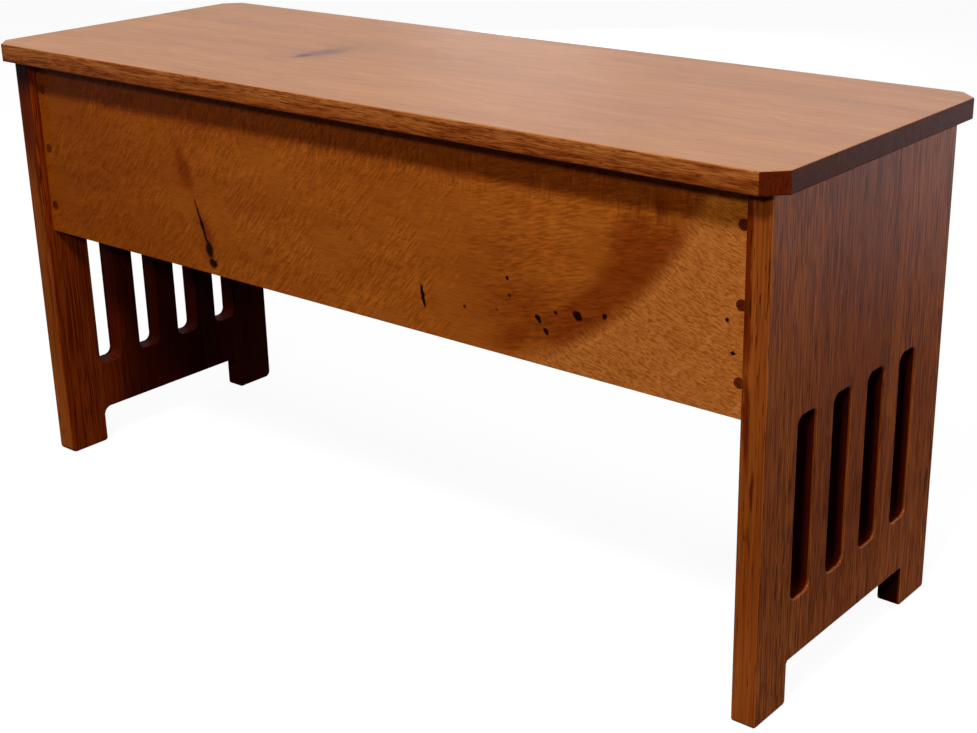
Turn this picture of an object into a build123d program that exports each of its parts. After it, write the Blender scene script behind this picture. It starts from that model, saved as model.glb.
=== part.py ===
from build123d import *
import os

# A mission bench with a storage box under a hinged seat lid, carried by two slotted end panels.
# Millimetres. X runs along the seat, Y from the front to the back, Z up from the floor.
# The origin is on the floor, under the middle of the lid.

# Seat lid
seat_height = 457.0
lid_length = 927.0
lid_depth = 327.0
lid_thickness = 18.2
lid_end_overhang = 13.0
lid_side_overhang = 15.5
lid_corner_clip = 16.5
lid_arris = 1.1
lid_rest_gap = 0.3

# End panels
panel_thickness = 21.8
foot_width = 48.5
arch_height = 38.7
left_arch_corner_radius = 9.0
right_arch_corner_radius = 2.5
left_toe_radius = 7.0
right_toe_radius = 3.6
heel_radius = 3.6
panel_arris = 2.0
slot_count = 4
slot_width = 28.5
slot_height = 158.5
slot_pitch = 56.0
slot_bottom = 92.5
slot_corner_radius = 8.0

# Front and back boards
board_thickness = 18.5
board_height = 182.5
front_board_recess = 9.5
board_arris = 1.2

# Cleats inside the box, square in section, and the floor that lies on them
cleat_width = 19.0
corner_cleat_top_drop = 4.0
floor_cleat_end_gap = 0.5
floor_thickness = 6.5
floor_edge_gap = 0.5

# Battens that keep the lid flat
batten_width = 40.0
batten_thickness = 16.0
batten_length = 225.0
batten_spacing = 440.0
batten_arris = 2.0

# Plugged screws through the boards into the corner cleats
plug_diameter = 9.5
plug_length = 6.5
plug_clearance = 0.04
plug_count = 3
plug_spacing = 61.5
lowest_plug_height = 29.5
plug_inset = 7.5

# Wood screws: head, shank and length, and the clearance of the holes that they sit in
board_screw_head = 8.0
board_screw_shank = 4.2
board_screw_length = 30.0
cleat_screw_head = 8.0
cleat_screw_shank = 4.2
cleat_screw_length = 30.0
hinge_screw_head = 6.0
hinge_screw_shank = 3.2
hinge_screw_length = 12.0
batten_screw_head = 8.0
batten_screw_shank = 4.2
batten_screw_length = 26.0
screw_clearance = 0.05

screw_rim = 0.3
screw_point_share = 0.6

# Small round things are prisms: screws with few sides, plugs and knuckles with enough to look round
screw_sides = 6
round_sides = 24
corner_runs = 8

# Where the hidden screws stand, as shares of the piece that they go through
corner_cleat_screw_shares = (0.34, 0.66)
long_cleat_screw_shares = (-0.32, 0.32)
short_cleat_screw_shares = (-0.3, 0.3)
batten_screw_shares = (-0.38, 0.0, 0.38)
hinge_screw_shares = (-0.35, 0.0, 0.35)

# Butt hinges
hinge_length = 64.0
hinge_end_distance = 130.0
leaf_width = 17.5
leaf_thickness = 1.8
knuckle_radius = 3.6
knuckle_count = 5
pin_radius = 1.8
pin_clearance = 0.05
hinge_clearance = 0.3
hinge_screw_stagger = 1.5

# Cutters run this far past the face that they open
overrun = 5.0

# Heights and planes that several pieces share
lid_underside = seat_height - lid_thickness
panel_height = lid_underside - lid_rest_gap
panel_depth = lid_depth - 2 * lid_side_overhang
panel_outer_x = lid_length / 2 - lid_end_overhang
panel_inner_x = panel_outer_x - panel_thickness
front_edge_y = -panel_depth / 2
back_edge_y = panel_depth / 2
board_bottom = panel_height - board_height
front_face_y = front_edge_y + front_board_recess
box_front_y = front_face_y + board_thickness
box_back_y = back_edge_y - board_thickness
cleat_inner_x = panel_inner_x - cleat_width
cleat_middle_x = panel_inner_x - cleat_width / 2
plug_x = panel_inner_x - plug_inset
front_cleat_y = box_front_y + cleat_width
back_cleat_y = box_back_y - cleat_width
floor_underside = board_bottom + cleat_width
floor_top = floor_underside + floor_thickness

# The hinge pin's axis: both leaves are let in flush, and the knuckles stand behind the back board
leaf_seat = knuckle_radius + hinge_clearance
hinge_axis_y = back_edge_y - leaf_thickness + leaf_seat
hinge_axis_z = lid_underside - leaf_seat
hinge_x = panel_inner_x - hinge_end_distance
knuckle_step = (hinge_length + hinge_clearance) / knuckle_count
knuckle_length = knuckle_step - hinge_clearance
back_knuckles = range(0, knuckle_count, 2)
lid_knuckles = range(1, knuckle_count, 2)

# The way that each screw's head looks
heads_to_front = Rot(90, 0, 0)
heads_to_back = Rot(-90, 0, 0)
heads_to_left = Rot(0, -90, 0)
heads_to_right = Rot(0, 90, 0)
heads_down = Rot(180, 0, 0)


def block(low, high):
    """A box between its lowest and its highest corner."""
    size = [b - a for a, b in zip(low, high)]
    middle = [(a + b) / 2 for a, b in zip(low, high)]
    return Pos(*middle) * Box(*size)


def rod(radius, length):
    """A round rod about the Z axis, centred on the origin, drawn as a prism."""
    return Pos(0, 0, -length / 2) * extrude(RegularPolygon(radius, round_sides), length)


def screw(head, shank, length, grow=0):
    """A countersunk wood screw pointing down from the origin. Grown, it cuts its own hole."""
    slope = (head - shank) / 2
    stem = extrude(RegularPolygon(shank / 2 + grow, screw_sides, major_radius=False), -length - grow)
    stem = chamfer(stem.faces().sort_by(Axis.Z)[0].edges(), shank / 2 * screw_point_share)
    top = extrude(RegularPolygon(head / 2 + grow, screw_sides, major_radius=False), -slope - screw_rim)
    return stem + chamfer(top.faces().sort_by(Axis.Z)[0].edges(), slope)


def drive(places, head, shank, length):
    """The same screw at each place."""
    piece = screw(head, shank, length)
    return [place * piece for place in places]


def bore(piece, places, head, shank, length):
    """A piece with the holes for the screws at these places."""
    cutter = screw(head, shank, length, screw_clearance)
    return piece - [place * cutter for place in places]


def set_back(places, depth):
    """The same places, moved into the wood by this depth."""
    return [place * Pos(0, 0, -depth) for place in places]


def plug_places(face_y, turn):
    """The middles of the plugs on the face of a board, three up each end."""
    heights = [board_bottom + lowest_plug_height + i * plug_spacing for i in range(plug_count)]
    return [Pos(x, face_y, z) * turn for x in (-plug_x, plug_x) for z in heights]


def plugs(places):
    """Wood plugs, flush with the face that they fill."""
    radius = plug_diameter / 2 - plug_clearance
    plug = Pos(0, 0, -plug_length / 2) * rod(radius, plug_length)
    return [place * plug for place in places]


def plug_holes(piece, places):
    """The plugs' seats, and below them the screws' holes."""
    seat = Pos(0, 0, -plug_length / 2) * rod(plug_diameter / 2, plug_length)
    piece -= [place * seat for place in places]
    return bore(piece, set_back(places, plug_length), *board_screw)


def in_short_runs(outline):
    """The same outline, with each of its arcs drawn as a few straight runs."""
    points = []
    for edge in outline.face().outer_wire().order_edges():
        runs = corner_runs if edge.geom_type == GeomType.CIRCLE else 1
        points += [edge.position_at(i / runs) for i in range(runs)]
    return make_face(Polyline(*points, close=True))


def panel_outline(arch_corner_radius, toe_radius):
    """The end panel seen from the side, with its feet, its arch and its row of slots."""
    half = panel_depth / 2
    arch_half = half - foot_width
    face = make_face(Polyline(
        (-half, 0),
        (-arch_half, 0),
        (-arch_half, arch_height),
        (arch_half, arch_height),
        (arch_half, 0),
        (half, 0),
        (half, panel_height),
        (-half, panel_height),
        close=True,
    ))
    face = fillet(face.vertices().filter_by_position(Axis.Y, arch_height, arch_height), arch_corner_radius)
    face = fillet(face.vertices().group_by(Axis.Y)[0].sort_by(Axis.X)[1:-1], heel_radius)
    ground = face.vertices().group_by(Axis.Y)[0].sort_by(Axis.X)
    face = fillet([ground[0], ground[-1]], toe_radius)
    slot = in_short_runs(RectangleRounded(slot_width, slot_height, slot_corner_radius))
    row = Pos(0, slot_bottom + slot_height / 2) * GridLocations(slot_pitch, slot_pitch, slot_count, 1)
    return in_short_runs(face) - [place * slot for place in row]


def end_panel(arch_corner_radius, toe_radius):
    """An end panel at the right end, every arris eased but those under the lid."""
    panel = extrude(Plane.YZ * panel_outline(arch_corner_radius, toe_radius), panel_thickness)
    sides = panel.faces().sort_by(Axis.X)
    rims = (sides[0].edges() + sides[-1].edges()).sort_by(Axis.Z)
    return Pos(panel_inner_x, 0, 0) * chamfer(rims[:-2], panel_arris)


def lid_board():
    """The seat lid with its four clipped corners and eased edges."""
    outline = Rectangle(lid_length, lid_depth)
    outline = chamfer(outline.vertices(), lid_corner_clip)
    board = extrude(outline, lid_thickness)
    faces = board.faces().sort_by(Axis.Z)
    board = chamfer(faces[0].edges() + faces[-1].edges(), lid_arris)
    return Pos(0, 0, lid_underside) * board


def long_board(front_y, back_y, shown_y):
    """A board from panel to panel, its shown lower edge eased."""
    board = block((-panel_inner_x, front_y, board_bottom), (panel_inner_x, back_y, panel_height))
    lower = board.edges().filter_by(Axis.X).group_by(Axis.Z)[0]
    return chamfer(lower.filter_by_position(Axis.Y, shown_y, shown_y), board_arris)


def let_in_hinge(piece, x):
    """The back board's two shallow seats for one hinge's leaves."""
    half = hinge_length / 2 + hinge_clearance
    front_y = hinge_axis_y - leaf_width - hinge_clearance
    seat_z = lid_underside - leaf_thickness - hinge_clearance
    foot_z = hinge_axis_z - leaf_width - hinge_clearance
    outside = (back_edge_y + overrun, panel_height + overrun)
    piece -= block((x - half, front_y, seat_z), (x + half, *outside))
    piece -= block((x - half, back_edge_y - leaf_thickness, foot_z), (x + half, *outside))
    return piece


def corner_cleat(x_low, y_low):
    """An upright cleat in one corner of the box."""
    top = panel_height - corner_cleat_top_drop
    return block((x_low, y_low, board_bottom), (x_low + cleat_width, y_low + cleat_width, top))


def box_floor():
    """The floor panel, notched round the four corner cleats."""
    x = panel_inner_x - floor_edge_gap
    front = box_front_y + floor_edge_gap
    back = box_back_y - floor_edge_gap
    panel = block((-x, front, floor_underside), (x, back, floor_top))
    for side in (-1, 1):
        for cleat_y in (box_front_y, back_cleat_y):
            middle = (side * cleat_middle_x, cleat_y + cleat_width / 2, floor_underside)
            notch = cleat_width + 2 * floor_edge_gap
            panel -= Pos(*middle) * Box(notch, notch, 2 * floor_thickness + overrun)
    return panel


def lid_batten(x):
    """A batten under the lid, its lower edges eased."""
    middle_y = (box_front_y + box_back_y) / 2
    low = (x - batten_width / 2, middle_y - batten_length / 2, lid_underside - batten_thickness)
    high = (x + batten_width / 2, middle_y + batten_length / 2, lid_underside)
    batten = block(low, high)
    return chamfer(batten.faces().sort_by(Axis.Z)[0].edges(), batten_arris)


def leaf_screw_places():
    """Three staggered screws in a leaf that lies as the lid's does."""
    middle_y = -(leaf_width + knuckle_radius) / 2
    places = []
    for i, share in enumerate(hinge_screw_shares):
        stagger = hinge_screw_stagger * (-1) ** i
        places.append(Pos(share * hinge_length, middle_y + stagger, leaf_seat - leaf_thickness) * heads_down)
    return places


def hinge_leaf(knuckles):
    """A leaf with its knuckles about the X axis, and its plate forward of them and level."""
    half = hinge_length / 2
    plate_end = -knuckle_radius - hinge_clearance
    leaf = block((-half, -leaf_width, leaf_seat - leaf_thickness), (half, plate_end, leaf_seat))
    wrap = Plane.YZ * make_face(Polyline(
        (plate_end, leaf_seat),
        (0, knuckle_radius),
        (0, knuckle_radius - leaf_thickness),
        (plate_end, leaf_seat - leaf_thickness),
        close=True,
    ))
    for i in knuckles:
        start = -half + i * knuckle_step
        leaf += Pos(start, 0, 0) * extrude(wrap, knuckle_length)
        leaf += Pos(start + knuckle_length / 2, 0, 0) * Rot(0, 90, 0) * rod(knuckle_radius, knuckle_length)
    leaf -= Rot(0, 90, 0) * rod(pin_radius + pin_clearance, hinge_length + overrun)
    return bore(leaf, leaf_screw_places(), *hinge_screw)


board_screw = (board_screw_head, board_screw_shank, board_screw_length)
cleat_screw = (cleat_screw_head, cleat_screw_shank, cleat_screw_length)
hinge_screw = (hinge_screw_head, hinge_screw_shank, hinge_screw_length)
batten_screw = (batten_screw_head, batten_screw_shank, batten_screw_length)

# Where the screws go, each place with its head's direction
front_plugs_at = plug_places(front_face_y, heads_to_front)
back_plugs_at = plug_places(back_edge_y, heads_to_back)

corner_height = panel_height - corner_cleat_top_drop - board_bottom
corner_screw_heights = [board_bottom + share * corner_height for share in corner_cleat_screw_shares]
corner_screws_at = {"left": [], "right": []}
for y in (box_front_y + cleat_width / 2, box_back_y - cleat_width / 2):
    for z in corner_screw_heights:
        corner_screws_at["left"].append(Pos(-cleat_inner_x, y, z) * heads_to_right)
        corner_screws_at["right"].append(Pos(cleat_inner_x, y, z) * heads_to_left)

cleat_middle_z = board_bottom + cleat_width / 2
long_cleat_length = 2 * (cleat_inner_x - floor_cleat_end_gap)
short_cleat_length = back_cleat_y - front_cleat_y - 2 * floor_cleat_end_gap
box_middle_y = (box_front_y + box_back_y) / 2
floor_cleat_screws_at = {
    "front": [Pos(share * long_cleat_length, front_cleat_y, cleat_middle_z) * heads_to_back
              for share in long_cleat_screw_shares],
    "back": [Pos(share * long_cleat_length, back_cleat_y, cleat_middle_z) * heads_to_front
             for share in long_cleat_screw_shares],
    "left": [Pos(-cleat_inner_x, box_middle_y + share * short_cleat_length, cleat_middle_z) * heads_to_right
             for share in short_cleat_screw_shares],
    "right": [Pos(cleat_inner_x, box_middle_y + share * short_cleat_length, cleat_middle_z) * heads_to_left
              for share in short_cleat_screw_shares],
}
batten_x = {"left": -batten_spacing / 2, "right": batten_spacing / 2}
batten_screws_at = {
    side: [Pos(x, box_middle_y + share * batten_length, lid_underside - batten_thickness) * heads_down
           for share in batten_screw_shares]
    for side, x in batten_x.items()
}
hinge_at = {"left": Pos(-hinge_x, hinge_axis_y, hinge_axis_z), "right": Pos(hinge_x, hinge_axis_y, hinge_axis_z)}
lid_leaf_screws_at = [at * place for at in hinge_at.values() for place in leaf_screw_places()]
back_leaf_screws_at = [at * Rot(90, 0, 0) * place for at in hinge_at.values() for place in leaf_screw_places()]

nodes = {}

# End panels
right_panel = bore(end_panel(right_arch_corner_radius, right_toe_radius), corner_screws_at["right"], *cleat_screw)
nodes["right_end_panel"] = bore(right_panel, floor_cleat_screws_at["right"], *cleat_screw)
left_panel = mirror(end_panel(left_arch_corner_radius, left_toe_radius), about=Plane.YZ)
left_panel = bore(left_panel, corner_screws_at["left"], *cleat_screw)
nodes["left_end_panel"] = bore(left_panel, floor_cleat_screws_at["left"], *cleat_screw)

# Front and back boards, with their plugs and screws
front_board = plug_holes(long_board(front_face_y, box_front_y, front_face_y), front_plugs_at)
nodes["front_board"] = bore(front_board, floor_cleat_screws_at["front"], *cleat_screw)
back_board = plug_holes(long_board(box_back_y, back_edge_y, back_edge_y), back_plugs_at)
back_board = bore(back_board, floor_cleat_screws_at["back"], *cleat_screw)
for x in (-hinge_x, hinge_x):
    back_board = let_in_hinge(back_board, x)
nodes["back_board"] = bore(back_board, back_leaf_screws_at, *hinge_screw)
nodes["front_plugs"] = plugs(front_plugs_at)
nodes["back_plugs"] = plugs(back_plugs_at)
nodes["front_board_screws"] = drive(set_back(front_plugs_at, plug_length), *board_screw)
nodes["back_board_screws"] = drive(set_back(back_plugs_at, plug_length), *board_screw)

# Corner cleats, each with the board's screws and its own
for side, x_low in (("left", -panel_inner_x), ("right", cleat_inner_x)):
    for edge, y_low, plug_list in (("front", box_front_y, front_plugs_at), ("back", back_cleat_y, back_plugs_at)):
        cleat = corner_cleat(x_low, y_low)
        cleat = bore(cleat, set_back(plug_list, plug_length), *board_screw)
        nodes[f"{edge}_{side}_corner_cleat"] = bore(cleat, corner_screws_at[side], *cleat_screw)
nodes["corner_cleat_screws"] = drive(corner_screws_at["left"] + corner_screws_at["right"], *cleat_screw)

# Floor cleats, and the floor that lies loose on them
long_half = long_cleat_length / 2
short_half = short_cleat_length / 2
floor_cleats = {
    "front": block((-long_half, box_front_y, board_bottom), (long_half, front_cleat_y, floor_underside)),
    "back": block((-long_half, back_cleat_y, board_bottom), (long_half, box_back_y, floor_underside)),
    "left": block((-panel_inner_x, box_middle_y - short_half, board_bottom),
                  (-cleat_inner_x, box_middle_y + short_half, floor_underside)),
    "right": block((cleat_inner_x, box_middle_y - short_half, board_bottom),
                   (panel_inner_x, box_middle_y + short_half, floor_underside)),
}
for edge, cleat in floor_cleats.items():
    nodes[f"{edge}_floor_cleat"] = bore(cleat, floor_cleat_screws_at[edge], *cleat_screw)
nodes["floor_cleat_screws"] = drive([p for row in floor_cleat_screws_at.values() for p in row], *cleat_screw)
nodes["box_floor"] = box_floor()

# Lid with its battens
lid = lid_board()
for side, places in batten_screws_at.items():
    lid = bore(lid, places, *batten_screw)
    nodes[f"{side}_lid_batten"] = bore(lid_batten(batten_x[side]), places, *batten_screw)
nodes["lid"] = bore(lid, lid_leaf_screws_at, *hinge_screw)
nodes["batten_screws"] = drive(batten_screws_at["left"] + batten_screws_at["right"], *batten_screw)

# Hinges
pin = Rot(0, 90, 0) * rod(pin_radius, hinge_length)
for side, at in hinge_at.items():
    nodes[f"{side}_hinge_lid_leaf"] = at * hinge_leaf(lid_knuckles)
    nodes[f"{side}_hinge_back_leaf"] = at * Rot(90, 0, 0) * hinge_leaf(back_knuckles)
    nodes[f"{side}_hinge_pin"] = at * pin
nodes["lid_leaf_screws"] = drive(lid_leaf_screws_at, *hinge_screw)
nodes["back_leaf_screws"] = drive(back_leaf_screws_at, *hinge_screw)

os.makedirs("parts", exist_ok=True)
for name, shape in nodes.items():
    solids = shape if isinstance(shape, list) else [shape]
    found = [solid for piece in solids for solid in piece.solids()]
    export_step(Compound(found) if len(found) > 1 else found[0], f"parts/{name}.step")
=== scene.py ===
"""Looks for the oak storage bench: its rounded boards, its wood finishes, its fittings, the light and the camera.

Lengths are metres, as in the frame, and sizes are written in millimetres times mm.
"""

import math

import bmesh
import bpy
from mathutils import Matrix, Vector


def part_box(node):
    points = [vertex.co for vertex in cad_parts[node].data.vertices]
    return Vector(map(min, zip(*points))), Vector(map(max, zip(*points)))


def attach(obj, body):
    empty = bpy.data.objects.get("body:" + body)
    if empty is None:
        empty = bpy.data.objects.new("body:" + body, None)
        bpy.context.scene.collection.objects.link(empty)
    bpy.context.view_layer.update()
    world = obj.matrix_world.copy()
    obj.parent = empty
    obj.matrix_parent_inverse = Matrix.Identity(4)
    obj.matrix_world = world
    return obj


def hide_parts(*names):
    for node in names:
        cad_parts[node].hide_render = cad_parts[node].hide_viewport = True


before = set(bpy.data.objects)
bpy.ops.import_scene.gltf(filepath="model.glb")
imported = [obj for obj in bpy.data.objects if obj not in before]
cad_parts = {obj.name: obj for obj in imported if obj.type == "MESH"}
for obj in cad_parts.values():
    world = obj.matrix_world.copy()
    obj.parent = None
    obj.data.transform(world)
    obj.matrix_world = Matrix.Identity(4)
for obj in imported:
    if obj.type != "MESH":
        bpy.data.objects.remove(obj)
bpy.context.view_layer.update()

mm = 0.001

# Points closer than this are one point
SAME_PLACE = 1e-6
# Edges that bend less than this are shaded smooth
SMOOTH_BEND = math.radians(30)

# Rounded edges of the boards, and the steps that draw them
PANEL_ARRIS = 1.8 * mm
LID_ARRIS = 1.2 * mm
ARRIS_STEPS = 5
BOARD_ARRIS = 1.2 * mm
BOARD_ARRIS_STEPS = 4
CORNER_STEPS = 10

# End panels: the outline's corners and the four slots
FOOT_WIDTH = 48.5 * mm
ARCH_HEIGHT = 38.7 * mm
ARCH_CORNER_RADIUS = {"left": 9.0 * mm, "right": 2.5 * mm}
TOE_RADIUS = {"left": 7.0 * mm, "right": 3.6 * mm}
HEEL_RADIUS = 3.6 * mm
SLOT_WIDTH = 28.5 * mm
SLOT_HEIGHT = 158.5 * mm
SLOT_PITCH = 56.0 * mm
SLOT_BOTTOM = 92.5 * mm
SLOT_CORNER_RADIUS = 8.0 * mm
SLOT_COUNT = 4

LID_CORNER_CLIP = 16.5 * mm

# Plugs: many-sided so that they look round, and a hair proud of the board
PLUG_SIDES = 48
PLUG_ARRIS = 0.25 * mm
PLUG_ARRIS_STEPS = 2
PLUG_RISE = 0.12 * mm

# A face belongs to a side of its board where its normal points that way by more than FACING. The lid's ends take
# more: END_FACING, and FACING for each part that the face turns up or down.
FACING = 0.6
END_FACING = 0.75

# Marks on the boards, in millimetres: middle, half length, half width, then rise in degrees, softness and depth.
# The lid's are seen from above, and the front board's from the front, up from the floor.
LID_KNOTS = (
    (-138, -34, 24, 15, 88, 0.9, 1.0),
    (-134, -8, 66, 32, 84, 1.0, 0.70),
    (-136, 2, 120, 70, 80, 1.0, 0.34),
    (120, 88, 14, 4, 8, 1.0, 0.35),
)
BOARD_STAINS = (
    (346, 408, 30, 13, 80, 1.0, 0.75),
    (322, 376, 46, 34, 66, 0.8, 0.95),
    (306, 344, 50, 26, 54, 0.9, 0.90),
    (280, 318, 56, 22, 38, 1.0, 0.80),
    (243, 296, 62, 24, 28, 1.0, 0.85),
    (206, 278, 52, 22, 26, 1.0, 0.80),
    (214, 306, 84, 38, 14, 1.0, 0.62),
    (-184, 300, 70, 24, -72, 1.0, 0.50),
    (-181, 300, 44, 12, -72, 1.0, 0.90),
    (-205, 358, 46, 17, -70, 0.9, 0.80),
    (190, 350, 90, 44, 14, 1.0, 0.42),
    (-120, 330, 46, 16, 8, 1.0, 0.22),
    (112, 292, 26, 9, 84, 1.0, 0.40),
)
BOARD_KNOTS = (
    (-184, 304, 38, 2.8, -71, 0.6, 0.92),
    (-176, 281, 13, 7.5, -75, 0.6, 0.92),
    (-172, 268, 9, 7.0, -20, 0.6, 0.94),
    (103, 290, 13, 3.0, -80, 0.4, 1.0),
    (198, 325, 2.4, 2.3, 0, 0.5, 0.95),
    (200, 310, 2.5, 2.2, 30, 0.6, 0.75),
    (151, 290.5, 2.4, 2.4, 0, 0.6, 0.75),
    (186, 295, 2.6, 2.2, 0, 0.7, 0.60),
    (248, 305, 2.4, 2.4, 0, 0.5, 0.95),
    (230, 296, 6.0, 3.0, -50, 0.5, 0.95),
    (238, 287, 4.5, 3.4, -30, 0.5, 0.90),
    (270, 307, 7.0, 5.0, -30, 0.5, 0.95),
    (297, 312, 3.8, 3.4, 0, 0.5, 0.95),
    (340, 318, 3.2, 2.2, 20, 0.8, 0.50),
    (409, 333, 2.6, 2.4, 0, 0.5, 0.92),
    (415, 308, 2.7, 2.5, 0, 0.5, 0.95),
    (413, 271, 3.2, 1.8, -20, 0.8, 0.45),
)
# Dark streaks on the front edges of the end panels. The last, at the top of the left edge, is the lid's shadow,
# painted
EDGE_STREAKS_AND_LID_SHADOW = (
    (431.0, 380, 110, 5.2, 90, 0.6, 0.95),
    (433.5, 330, 44, 4.0, 91, 0.7, 0.80),
    (434.0, 262, 60, 4.4, 92, 0.7, 0.90),
    (441.0, 205, 28, 2.6, 88, 0.8, 0.90),
    (439.0, 165, 24, 2.0, 94, 0.8, 0.60),
    (449.5, 375, 32, 1.7, 90, 0.8, 0.70),
    (437.5, 115, 45, 1.6, 90, 1.0, 0.45),
    (-433.0, 330, 120, 5.0, 90, 0.8, 0.90),
    (-434.0, 190, 100, 4.0, 90, 0.8, 0.60),
    (-440.0, 412, 135, 26, 90, 0.7, 1.0),
)
# A mark goes right through its board: along the third axis it would take this many metres to fade
MARK_REACH = 10

# Ray fleck: lean in degrees, length and width in millimetres, and then along which axis, and between which two
# places in millimetres, it fades in. The first is for the left and the middle, the second for the wood under the
# lid and the third for the dark wood on the right.
FLECKS = (
    (48, 13.0, 2.0, 0, 200, 90),
    (86, 15.0, 2.6, 1, 375, 410),
    (14, 12.0, 2.0, 0, 110, 200),
)

# Where the front board's colours change. A pair is where a change starts and where it is full: X or the height,
# or how far outside the stain's rim, which is a circle about a place on the board.
RIM_MIDDLE = (92 * mm, 565 * mm)
RIM_RADIUS = 324 * mm
RIM_BLUR = (-4 * mm, 16 * mm)
RIGHT_OF_RIM = (120 * mm, 180 * mm)
# Where the board turns redder and takes painted shade, towards the left
REDDER_AND_SHADED_LEFT = (-40 * mm, -360 * mm)
# Heights of the lid's shadow, painted on the front board
LID_SHADOW_HEIGHTS = (398 * mm, 411 * mm)
STAIN_ARC = (-36 * mm, -14 * mm)
STAIN_ARC_LEFT = (215 * mm, 262 * mm)
STAIN_ARC_TOP = (408 * mm, 380 * mm)
# The golden part's grain drops this much over this way out from the rim, steeply at first
GRAIN_DROP = 36 * mm
GRAIN_DROP_REACH = 120 * mm
GRAIN_DROP_EASE = 0.7
RING_WIDTH = 9 * mm
# The same wood at the back has none of the front board's marks: they start in front of the bench's middle
IN_FRONT = (0.0, -10 * mm)

# Glue lines between the three staves of an end panel, front to back, and how far to each side they show
STAVE_SEAMS = (-68 * mm, 48 * mm)
SEAM_WIDTH = (0.7 * mm, 0.2 * mm)
# Where the end panels' colours change: by how far a normal points back or outwards, and by place
FRONTWARD = (-0.5, -0.8)
HALF_IN_FRONT = (-1.5, -0.5)
INWARD = (-0.4, -0.8)
NOT_INWARD = (-0.8, -0.4)
ACROSS_THE_THICKNESS = (0.8, 0.5)
LEFT_END = (0.0, -400 * mm)
# Heights of the lid's shadow, painted on the left front edge
EDGE_LID_SHADOW_TOP = (385 * mm, 430 * mm)
PALER_FEET = (150 * mm, 20 * mm)
INNER_SHADE = (-150 * mm, -10 * mm)
DEEPER_SHADE = (-30 * mm, 60 * mm)
OPENINGS_WIDTH = (106 * mm, 102 * mm)
OPENINGS_TOP = (300 * mm, 290 * mm)
ARCH_TOP = (60 * mm, 50 * mm)
OUTER_RIM = (0.8 * mm, 3 * mm)

PLIES = 5


# The pieces


def make_piece(bm, name, body, materials, replaced):
    """The finished mesh as a piece of the bench, in place of the CAD nodes that it stands for."""
    bmesh.ops.remove_doubles(bm, verts=bm.verts, dist=SAME_PLACE)
    bmesh.ops.recalc_face_normals(bm, faces=bm.faces)
    for edge in bm.edges:
        edge.smooth = edge.calc_face_angle(0.0) < SMOOTH_BEND
    for face in bm.faces:
        face.smooth = True
    mesh = bpy.data.meshes.new(name)
    bm.to_mesh(mesh)
    bm.free()
    for material in materials:
        mesh.materials.append(material)
    piece = bpy.data.objects.new(name, mesh)
    bpy.context.scene.collection.objects.link(piece)
    shading = piece.modifiers.new("Even shading", "WEIGHTED_NORMAL")
    shading.keep_sharp = True
    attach(piece, body)
    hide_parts(*replaced)


def flat_loop(bm, corners):
    """A flat face through these corners, in the plane that they lie in."""
    return bm.faces.new([bm.verts.new(corner) for corner in corners])


def round_corners(bm, face, radius, chosen):
    """The chosen corners of a flat face rounded to a radius."""
    bmesh.ops.bevel(
        bm,
        geom=[vert for vert in face.verts if chosen(vert.co)],
        offset=radius,
        offset_type="OFFSET",
        affect="VERTICES",
        segments=CORNER_STEPS,
        profile=0.5,
        material=-1,
    )


def rounded_slab(bm, faces, thickness, arris):
    """The flat faces, lying across X, made a slab about their own plane with rounded rims on both sides."""
    outer = bmesh.ops.extrude_face_region(bm, geom=faces)["geom"]
    faces = [item for item in outer if isinstance(item, bmesh.types.BMFace)]
    shift = Vector((thickness / 2 - arris, 0, 0))
    bmesh.ops.translate(bm, vec=shift, verts=[item for item in outer if isinstance(item, bmesh.types.BMVert)])
    angles = [math.radians(90) * step / ARRIS_STEPS for step in range(ARRIS_STEPS + 1)]
    for before, after in zip(angles, angles[1:]):
        inset = arris * (math.cos(before) - math.cos(after))
        rise = arris * (math.sin(after) - math.sin(before))
        bmesh.ops.inset_region(bm, faces=faces, thickness=inset, use_boundary=True, use_even_offset=True)
        verts = {vert for face in faces for vert in face.verts}
        bmesh.ops.translate(bm, vec=Vector((rise, 0, 0)), verts=list(verts))
    middle = [face for face in bm.faces if all(abs(vert.co.x) < SAME_PLACE for vert in face.verts)]
    bmesh.ops.delete(bm, geom=middle, context="FACES_ONLY")
    bmesh.ops.mirror(bm, geom=bm.verts[:] + bm.edges[:] + bm.faces[:], axis="X", merge_dist=SAME_PLACE)


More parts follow.
